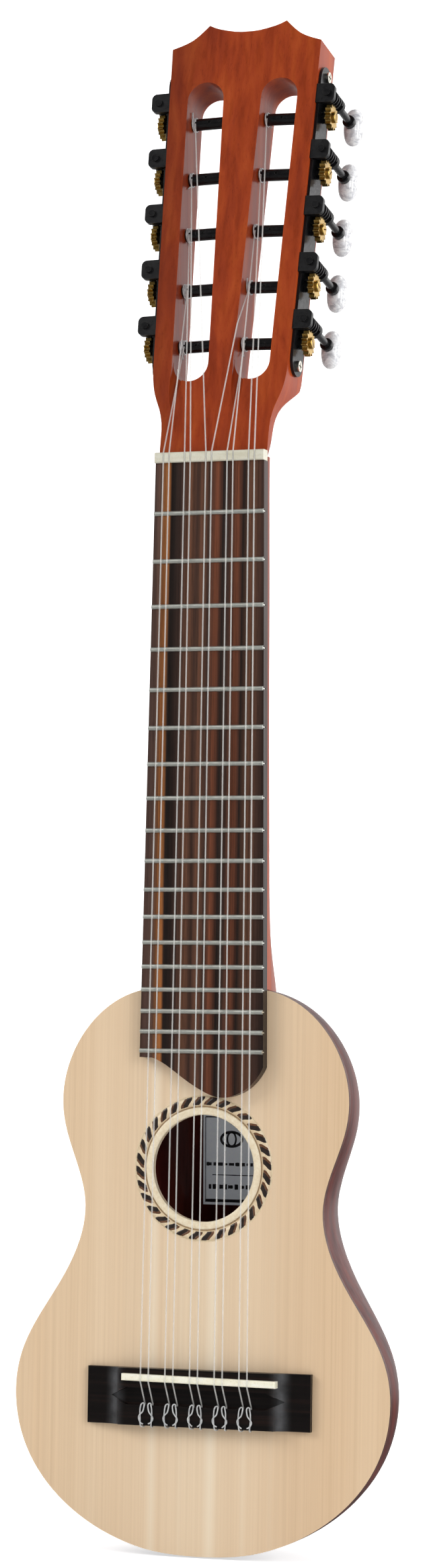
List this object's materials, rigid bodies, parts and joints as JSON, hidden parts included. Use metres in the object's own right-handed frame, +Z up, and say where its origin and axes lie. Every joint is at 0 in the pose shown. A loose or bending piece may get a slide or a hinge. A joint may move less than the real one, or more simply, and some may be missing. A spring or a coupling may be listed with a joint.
{
  "type": "charango",
  "caption": "Small lute with double courses, a slotted headstock with worm-gear tuners, a fretted neck and a round-backed figure-eight body.",
  "frame": {"origin": "below the tail end of the body, centred left to right and front to back in the whole bounding box", "axes": "+Z up along the neck, -Y is the way the soundboard faces, +X to the right as seen from the front"},
  "size_m": [0.16, 0.0794, 0.6315],
  "materials": {
    "bowl_wood": "dark red-brown, gloss lacquer",
    "spruce": "pale spruce, thin satin lacquer",
    "rosette_ring": "cream inlay with dark rope beads",
    "inner_wood": "bare sanded wood",
    "neck_wood": "orange-brown, gloss lacquer",
    "rosewood": "oiled dark rosewood",
    "bridge_wood": "near black, polished",
    "fret_metal": "polished nickel silver",
    "bone": "ivory coloured, satin",
    "nylon": "clear nylon",
    "paper": "plain printed paper",
    "plate_metal": "black, glossy",
    "screw_metal": "bright",
    "black_metal": "black, glossy",
    "gear_brass": "polished, slightly tarnished",
    "pearl": "pearl, slightly translucent"
  },
  "bodies": {
    "instrument": {"bowl": "bowl_wood", "soundboard": "spruce", "rosette": "rosette_ring", "lining": "inner_wood", "neck_block": "inner_wood", "tail_block": "inner_wood", "soundboard_braces": "inner_wood", "bridge_plate": "inner_wood", "neck": "neck_wood", "fingerboard": "rosewood", "frets": "fret_metal", "nut": "bone", "bridge": "bridge_wood", "saddle": "bone", "strings": "nylon", "label": "paper", "tuner_plate_left": "plate_metal", "tuner_plate_right": "plate_metal", "plate_screws": "screw_metal"},
    "button_1": {"worm_shaft_1": "black_metal", "tuner_button_1": "pearl"},
    "post_1": {"roller_1": "black_metal", "gear_1": "gear_brass"},
    "button_6": {"worm_shaft_6": "black_metal", "tuner_button_6": "pearl"},
    "post_6": {"roller_6": "black_metal", "gear_6": "gear_brass"},
    "button_2": {"worm_shaft_2": "black_metal", "tuner_button_2": "pearl"},
    "post_2": {"roller_2": "black_metal", "gear_2": "gear_brass"},
    "button_7": {"worm_shaft_7": "black_metal", "tuner_button_7": "pearl"},
    "post_7": {"roller_7": "black_metal", "gear_7": "gear_brass"},
    "button_3": {"worm_shaft_3": "black_metal", "tuner_button_3": "pearl"},
    "post_3": {"roller_3": "black_metal", "gear_3": "gear_brass"},
    "button_8": {"worm_shaft_8": "black_metal", "tuner_button_8": "pearl"},
    "post_8": {"roller_8": "black_metal", "gear_8": "gear_brass"},
    "button_4": {"worm_shaft_4": "black_metal", "tuner_button_4": "pearl"},
    "post_4": {"roller_4": "black_metal", "gear_4": "gear_brass"},
    "button_9": {"worm_shaft_9": "black_metal", "tuner_button_9": "pearl"},
    "post_9": {"roller_9": "black_metal", "gear_9": "gear_brass"},
    "button_5": {"worm_shaft_5": "black_metal", "tuner_button_5": "pearl"},
    "post_5": {"roller_5": "black_metal", "gear_5": "gear_brass"},
    "button_10": {"worm_shaft_10": "black_metal", "tuner_button_10": "pearl"},
    "post_10": {"roller_10": "black_metal", "gear_10": "gear_brass"}
  },
  "joints": [
    {"name": "turn_button_1", "type": "hinge", "parent": "instrument", "child": "button_1", "pos_m": [0.03456, -0.01346, 0.49972], "axis": [0, 0.9816, -0.1908], "continuous": true},
    {"name": "post_turn_1", "type": "hinge", "parent": "instrument", "child": "post_1", "pos_m": [0.02956, -0.01463, 0.49212], "axis": [0.9997, -0.0048, -0.0245], "continuous": true},
    {"name": "turn_button_6", "type": "hinge", "parent": "instrument", "child": "button_6", "pos_m": [-0.03456, -0.01346, 0.49972], "axis": [0, 0.9816, -0.1908], "continuous": true},
    {"name": "post_turn_6", "type": "hinge", "parent": "instrument", "child": "post_6", "pos_m": [-0.02956, -0.01463, 0.49212], "axis": [-0.9997, -0.0048, -0.0245], "continuous": true},
    {"name": "turn_button_2", "type": "hinge", "parent": "instrument", "child": "button_2", "pos_m": [0.03518, -0.00873, 0.52405], "axis": [0, 0.9816, -0.1908], "continuous": true},
    {"name": "post_turn_2", "type": "hinge", "parent": "instrument", "child": "post_2", "pos_m": [0.03018, -0.0099, 0.51646], "axis": [0.9997, -0.0048, -0.0245], "continuous": true},
    {"name": "turn_button_7", "type": "hinge", "parent": "instrument", "child": "button_7", "pos_m": [-0.03518, -0.00873, 0.52405], "axis": [0, 0.9816, -0.1908], "continuous": true},
    {"name": "post_turn_7", "type": "hinge", "parent": "instrument", "child": "post_7", "pos_m": [-0.03018, -0.0099, 0.51646], "axis": [-0.9997, -0.0048, -0.0245], "continuous": true},
    {"name": "turn_button_3", "type": "hinge", "parent": "instrument", "child": "button_3", "pos_m": [0.0358, -0.004, 0.54839], "axis": [0, 0.9816, -0.1908], "continuous": true},
    {"name": "post_turn_3", "type": "hinge", "parent": "instrument", "child": "post_3", "pos_m": [0.0308, -0.00517, 0.54079], "axis": [0.9997, -0.0048, -0.0245], "continuous": true},
    {"name": "turn_button_8", "type": "hinge", "parent": "instrument", "child": "button_8", "pos_m": [-0.0358, -0.004, 0.54839], "axis": [0, 0.9816, -0.1908], "continuous": true},
    {"name": "post_turn_8", "type": "hinge", "parent": "instrument", "child": "post_8", "pos_m": [-0.0308, -0.00517, 0.54079], "axis": [-0.9997, -0.0048, -0.0245], "continuous": true},
    {"name": "turn_button_4", "type": "hinge", "parent": "instrument", "child": "button_4", "pos_m": [0.03641, 0.00073, 0.57273], "axis": [0, 0.9816, -0.1908], "continuous": true},
    {"name": "post_turn_4", "type": "hinge", "parent": "instrument", "child": "post_4", "pos_m": [0.03142, -0.00044, 0.56513], "axis": [0.9997, -0.0048, -0.0245], "continuous": true},
    {"name": "turn_button_9", "type": "hinge", "parent": "instrument", "child": "button_9", "pos_m": [-0.03641, 0.00073, 0.57273], "axis": [0, 0.9816, -0.1908], "continuous": true},
    {"name": "post_turn_9", "type": "hinge", "parent": "instrument", "child": "post_9", "pos_m": [-0.03142, -0.00044, 0.56513], "axis": [-0.9997, -0.0048, -0.0245], "continuous": true},
    {"name": "turn_button_5", "type": "hinge", "parent": "instrument", "child": "button_5", "pos_m": [0.03703, 0.00546, 0.59706], "axis": [0, 0.9816, -0.1908], "continuous": true},
    {"name": "post_turn_5", "type": "hinge", "parent": "instrument", "child": "post_5", "pos_m": [0.03204, 0.00429, 0.58947], "axis": [0.9997, -0.0048, -0.0245], "continuous": true},
    {"name": "turn_button_10", "type": "hinge", "parent": "instrument", "child": "button_10", "pos_m": [-0.03703, 0.00546, 0.59706], "axis": [0, 0.9816, -0.1908], "continuous": true},
    {"name": "post_turn_10", "type": "hinge", "parent": "instrument", "child": "post_10", "pos_m": [-0.03204, 0.00429, 0.58947], "axis": [-0.9997, -0.0048, -0.0245], "continuous": true}
  ],
  "couplings": [
    {"joint": "post_turn_1", "follows": "turn_button_1", "ratio": 0.071429},
    {"joint": "post_turn_6", "follows": "turn_button_6", "ratio": 0.071429},
    {"joint": "post_turn_2", "follows": "turn_button_2", "ratio": 0.071429},
    {"joint": "post_turn_7", "follows": "turn_button_7", "ratio": 0.071429},
    {"joint": "post_turn_3", "follows": "turn_button_3", "ratio": 0.071429},
    {"joint": "post_turn_8", "follows": "turn_button_8", "ratio": 0.071429},
    {"joint": "post_turn_4", "follows": "turn_button_4", "ratio": 0.071429},
    {"joint": "post_turn_9", "follows": "turn_button_9", "ratio": 0.071429},
    {"joint": "post_turn_5", "follows": "turn_button_5", "ratio": 0.071429},
    {"joint": "post_turn_10", "follows": "turn_button_10", "ratio": 0.071429}
  ]
}
